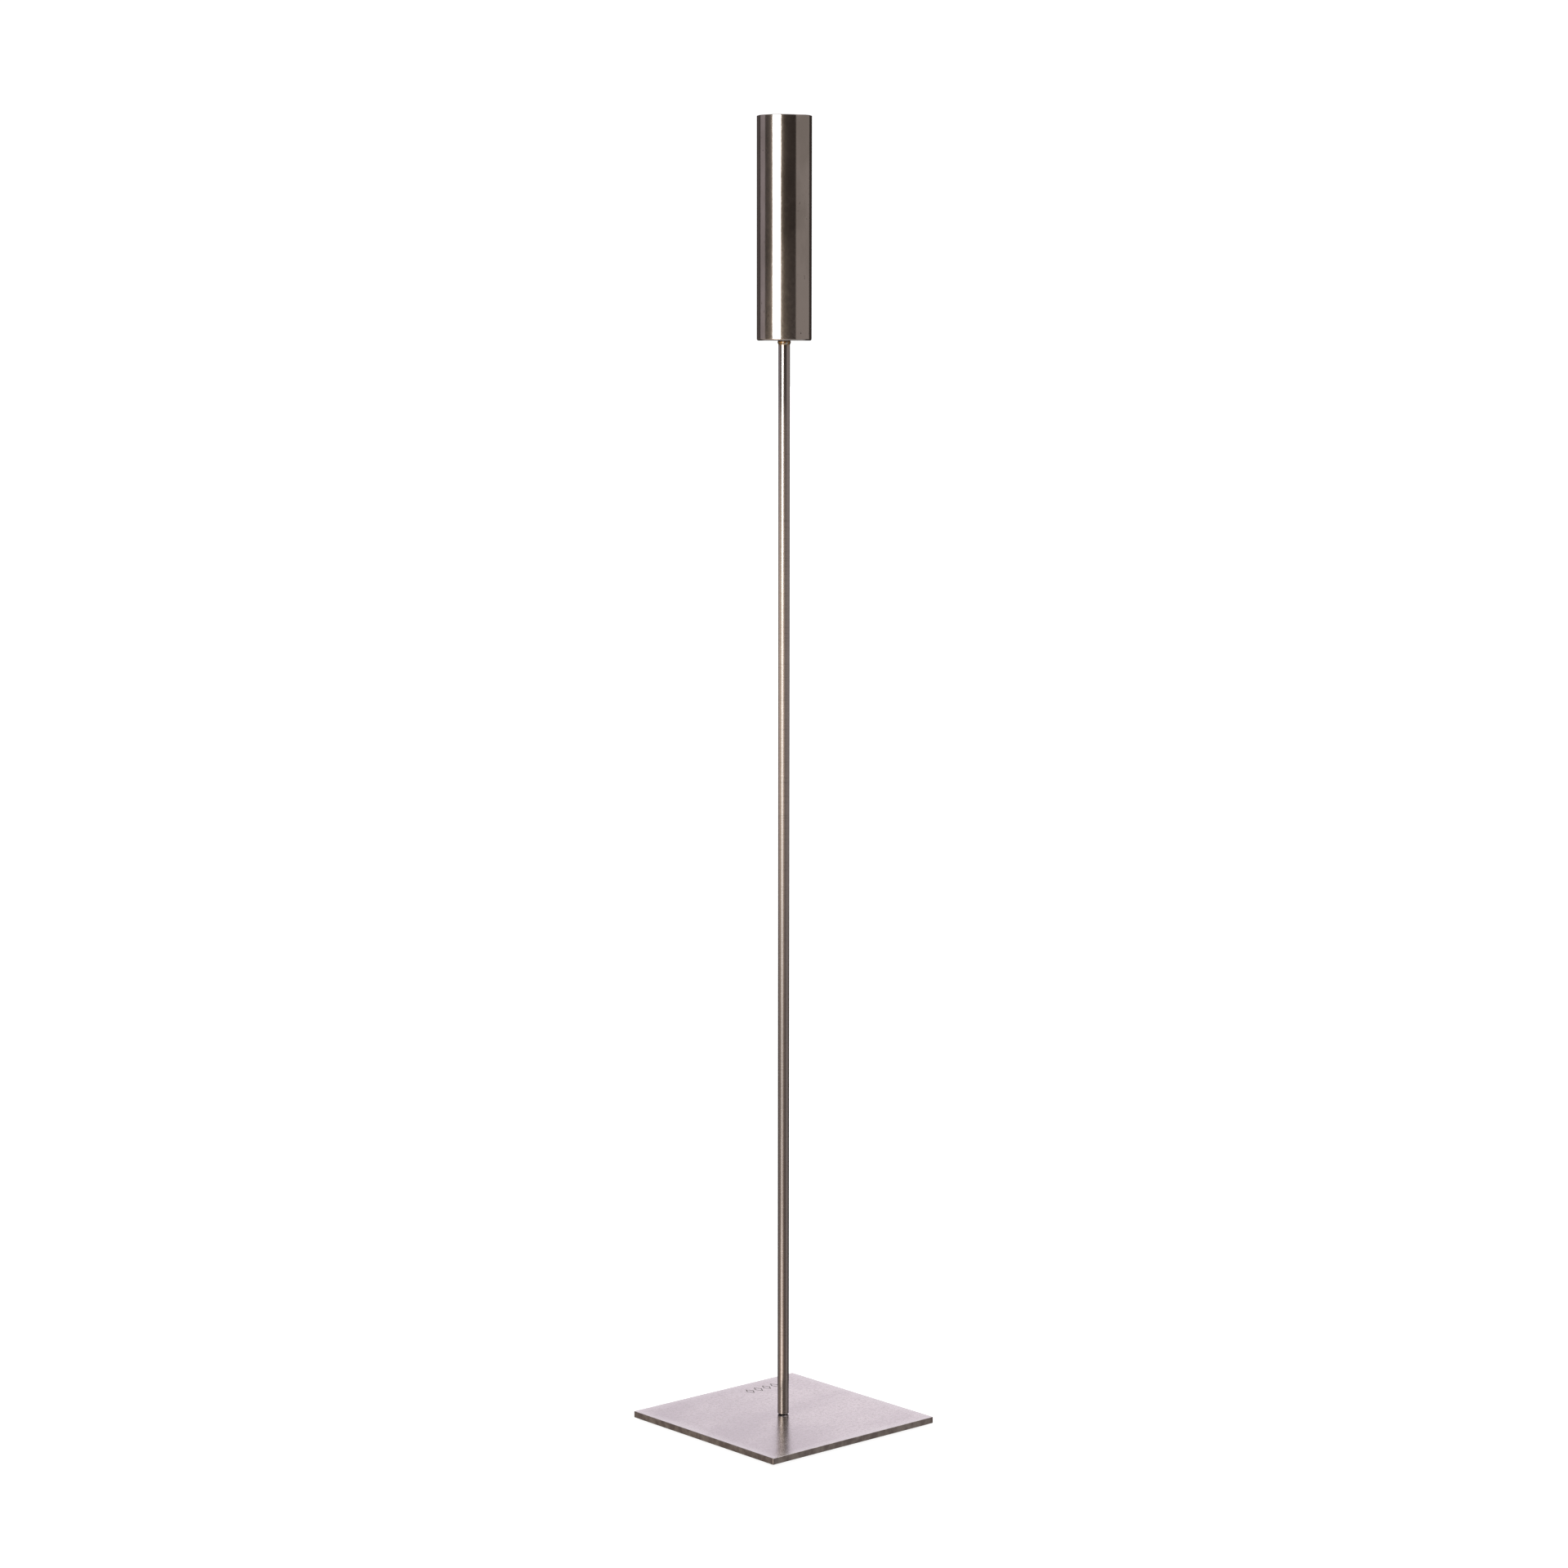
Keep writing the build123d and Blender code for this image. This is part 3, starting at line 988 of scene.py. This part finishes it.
# Cards round the object. Each has the bearings and the heights that it fills, and its light. Bearings are in
# degrees round from where the camera stands, growing towards its right, and heights are in degrees above
# level. Later cards cover earlier ones.
EVERY_HEIGHT = (-90, 90)
NOT_LOW = (-9, 90)
HIGH = (11, 26)
MIDDLE = (-9, -1.5)
LOW = (-90, -9)
CARDS = [
    ((-158, -127), NOT_LOW, (0.10, 0.082, 0.08)),
    ((-120, -86), NOT_LOW, (0.30, 0.255, 0.26)),
    ((-88, -40), EVERY_HEIGHT, (0.072, 0.06, 0.056)),
    ((-112, -84), LOW, (0.18, 0.157, 0.148)),
    ((-112, -50), HIGH, (0.42, 0.33, 0.27)),
    ((-30, 54), HIGH, (0.17, 0.135, 0.10)),
    ((-20, 60), MIDDLE, (0.20, 0.175, 0.17)),
    ((-20, 60), LOW, (0.10, 0.08, 0.07)),
    ((50, 129), NOT_LOW, (0.285, 0.245, 0.225)),
    ((104, 150), HIGH, (0.06, 0.05, 0.045)),
    ((54, 104), LOW, (0.25, 0.215, 0.20)),
]
CARD_SOFTNESS = 4
HEIGHT_SOFTNESS = 2
DARK_STUDIO = (0.040, 0.031, 0.027)

# The bright strip's light at each height, and the glow that spreads from its sides
STRIP = (-49.0, -16)
STRIP_SOFTNESS = (1.0, 14.0)
STRIP_POWER = 8.0
STRIP_RANGE = 30
STRIP_LIGHT = [
    (-30, (0.17, 0.14, 0.12)),
    (-16.0, (0.25, 0.212, 0.18)),
    (-14.5, (0.09, 0.082, 0.076)),
    (-13.2, (0.015, 0.014, 0.015)),
    (-11.0, (0.02, 0.019, 0.02)),
    (-9.5, (0.10, 0.092, 0.084)),
    (-7.3, (0.178, 0.163, 0.142)),
    (-4.8, (0.192, 0.184, 0.163)),
    (-1.5, (0.205, 0.197, 0.173)),
    (-0.55, (0.25, 0.243, 0.22)),
    (0.1, (0.75, 0.74, 0.72)),
    (6, (0.75, 0.74, 0.72)),
    (12, (0.20, 0.167, 0.133)),
    (20, (0.145, 0.117, 0.09)),
    (30, (0.10, 0.085, 0.075)),
]

# The glow beside the strip: its tint, its share of the strip's light and the angle over which it halves. The
# first of a pair is for heights where the glow is narrow, and the second for where it has spread. Lower
# still it narrows again, and only a share of the spreading stays.
GLOW_TINT = (0.97, 0.80, 0.64)
GLOW_SHARE = (0.085, 0.85)
GLOW_HALVES_OVER = (4.4, 15.0)
GLOW_WIDER_ON_LEFT = 1.0
GLOW_SPREADS = (-2.6, -0.9)
GLOW_NARROWS = (-11.0, -5.0)
GLOW_STAYS = 0.5

# The pale tent's light at each height. It starts above the cards behind the object, and overhead elsewhere.
TENT_LIGHT = [
    (0, (0.99, 0.90, 0.985)),
    (17, (1.0, 0.91, 0.99)),
    (27, (0.84, 0.77, 0.83)),
    (54, (0.62, 0.60, 0.62)),
    (90, (0.70, 0.69, 0.70)),
]
TENT_FOOT = (6.0, 11.0)
TENT_BACK = (130, 165)
TENT_ELSEWHERE = 0.10
OVERHEAD = (20, 55)

# A window on one side brightens the tent's upper part, and the far side is darker for it
WINDOW_SIDE = 105
WINDOW_GAIN = 1.8
WINDOW_LEAST = 0.4
WINDOW_TOP = (55, 75)

# What lies further below level than the cards show: a pale table, shaded behind
BELOW = (28, 45)
PALE_BELOW = (0.42, 0.40, 0.385)
SHADED_BELOW = (0.03, 0.025, 0.022)

# What is seen of the world behind the object
BACKDROP_WHITE = 1.1


class Studio(Nodes):
    """The world's light, by bearing and height in degrees as the object sees them."""

    def __init__(self, name):
        world = bpy.data.worlds.new(name)
        world.use_nodes = True
        bpy.context.scene.world = world
        super().__init__(world.node_tree)
        self.tree.nodes.clear()
        facing = math.atan2(-math.cos(CAMERA_TURN), math.sin(CAMERA_TURN))
        direction = self.node("ShaderNodeTexCoord", output="Generated")
        turned = self.node(
            "ShaderNodeVectorRotate",
            {"Vector": direction, "Angle": -facing},
            rotation_type="Z_AXIS",
        )
        x, y, z = self.split(turned)
        self.bearing = y.maths("ARCTAN2", x) * math.degrees(1)
        self.height = z.maths("ARCSINE") * math.degrees(1)
        self.behind = self.ease(self.bearing.maths("ABSOLUTE"), *TENT_BACK)

    def between(self, value, ends, soft):
        """1 between two ends and 0 outside them, with each end's edge as wide as soft."""
        low, high = ends
        risen = self.ease(value, low - soft / 2, low + soft / 2)
        fallen = self.ease(value, high - soft / 2, high + soft / 2)
        return risen * (1 - fallen)

    def by_height(self, stops, low, high):
        """The colour at each height, from (height, colour) stops."""
        places = [((at - low) / (high - low), colour) for at, colour in stops]
        return self.node("ShaderNodeValToRGB", [(self.height - low) / (high - low)], stops=places)

    def vectors(self, operation, first, second):
        """A Vector Math node on two colours, or on a colour and the number that scales it."""
        key = "Scale" if operation == "SCALE" else 1
        return self.node("ShaderNodeVectorMath", {0: first, key: second}, operation=operation)

    def cards(self):
        """The dark studio and its cards."""
        glow = DARK_STUDIO
        for bearings, heights, colour in CARDS:
            across = self.between(self.bearing, bearings, CARD_SOFTNESS)
            share = across * self.between(self.height, heights, HEIGHT_SOFTNESS)
            glow = self.blend(share, glow, colour)
        return glow

    def with_strip(self, glow):
        """Adds the bright strip, with its glow on both sides."""
        light = self.by_height(STRIP_LIGHT, -STRIP_RANGE, STRIP_RANGE)
        strip = self.vectors("SCALE", light, STRIP_POWER)
        wide = GLOW_STAYS + (1 - GLOW_STAYS) * self.ease(self.height, *GLOW_NARROWS)
        spread = (1 - self.ease(self.height, *GLOW_SPREADS)) * wide

        def spreading(pair):
            return pair[0] + (pair[1] - pair[0]) * spread

        left = (STRIP[0] - self.bearing) / (1 + GLOW_WIDER_ON_LEFT * spread)
        beside = left.maths("MAXIMUM", self.bearing - STRIP[1]).maths("MAXIMUM", 0.0)
        share = spreading(GLOW_SHARE) * 0.5 ** (beside / spreading(GLOW_HALVES_OVER))
        spill = self.vectors("SCALE", self.vectors("MULTIPLY", strip, GLOW_TINT), share)
        on_strip = self.between(self.bearing, STRIP, spreading(STRIP_SOFTNESS))
        return self.blend(on_strip, self.vectors("ADD", glow, spill), strip)

    def with_table(self, glow):
        """Covers what is far below level with the table."""
        table = self.blend(self.behind, PALE_BELOW, SHADED_BELOW)
        return self.blend(self.ease(self.height * -1.0, *BELOW), glow, table)

    def with_tent(self, glow):
        """Covers what is above level with the tent, lit by its window."""
        above = self.ease(self.height, *OVERHEAD)
        window_side = ((self.bearing - WINDOW_SIDE) * math.radians(1)).maths("COSINE")
        upper = above * (1 - self.ease(self.height, *WINDOW_TOP))
        window = (1 + WINDOW_GAIN * upper * window_side).maths("MAXIMUM", WINDOW_LEAST)
        share = TENT_ELSEWHERE + (1 - TENT_ELSEWHERE) * self.behind.maths("MAXIMUM", above)
        tent = self.vectors("SCALE", self.by_height(TENT_LIGHT, 0, 90), share * window)
        in_tent = 1 - (1 - self.behind) * (1 - above)
        return self.blend(self.ease(self.height, *TENT_FOOT) * in_tent, glow, tent)

    def shine(self, glow):
        """Lights the object with the studio, and shows the camera plain white."""
        lit = self.node("ShaderNodeBackground", {"Color": glow, "Strength": 1.0})
        white = self.node("ShaderNodeBackground", {"Color": (1, 1, 1, 1), "Strength": BACKDROP_WHITE})
        seen = self.node("ShaderNodeLightPath", output="Is Camera Ray")
        shown = self.node("ShaderNodeMixShader", {"Fac": seen, 1: lit, 2: white})
        self.node("ShaderNodeOutputWorld", [shown])


def light_studio():
    """A dark studio with upright cards and one bright strip, under a pale tent that starts above them."""
    studio = Studio("studio")
    glow = studio.cards()
    for add in (studio.with_strip, studio.with_table, studio.with_tent):
        glow = add(glow)
    studio.shine(glow)


LAMP_STRENGTH = 2.4
LAMP_SPREAD = math.radians(70)
LAMP_TILT = (math.radians(12), math.radians(-14), 0)


def hang_lamp():
    """A very soft, even light from above for the floor, out of the metal's sight."""
    data = bpy.data.lights.new("overhead", "SUN")
    data.energy = LAMP_STRENGTH
    data.angle = LAMP_SPREAD
    lamp = bpy.data.objects.new("overhead", data)
    lamp.rotation_euler = LAMP_TILT
    lamp.visible_glossy = False
    bpy.context.scene.collection.objects.link(lamp)


set_camera()
lay_floor()
light_studio()
hang_lamp()
bpy.context.scene.view_settings.view_transform = "Standard"
make_candlestick()
